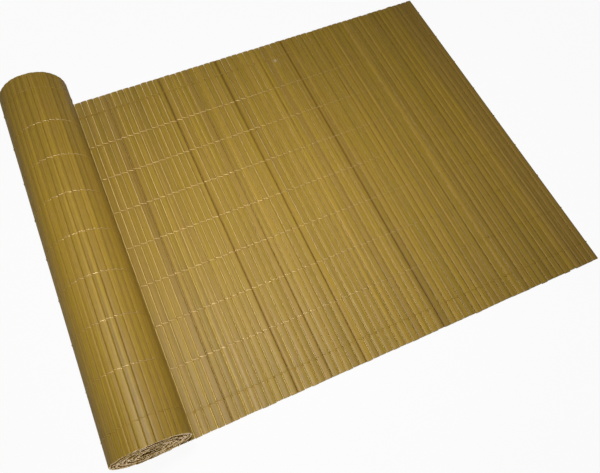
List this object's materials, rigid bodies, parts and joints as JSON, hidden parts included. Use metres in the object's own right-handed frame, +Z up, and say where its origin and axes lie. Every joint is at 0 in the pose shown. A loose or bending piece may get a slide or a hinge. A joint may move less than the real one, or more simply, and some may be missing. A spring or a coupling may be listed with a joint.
{
  "type": "privacy screen",
  "caption": "Slatted plastic privacy screen of hollow oval slats tied side by side by lines of thread, partly unrolled flat with the rest in a roll.",
  "frame": {"origin": "on the ground, under the middle of the whole screen", "axes": "+X along the screen from the roll to the free end, +Y along the slats, +Z up"},
  "size_m": [1.3046, 1, 0.1756],
  "materials": {
    "slat_plastic": "satin bamboo-coloured plastic with fine lengthwise streaks",
    "binding_thread": "twisted straw-coloured thread"
  },
  "bodies": {
    "root": {"rolled_slats": "slat_plastic", "laid_out_slats": "slat_plastic", "binding_thread_1": "binding_thread", "binding_thread_2": "binding_thread", "binding_thread_3": "binding_thread", "binding_thread_4": "binding_thread", "binding_thread_5": "binding_thread", "binding_thread_6": "binding_thread", "binding_thread_7": "binding_thread", "binding_thread_8": "binding_thread", "binding_thread_9": "binding_thread"}
  },
  "joints": []
}
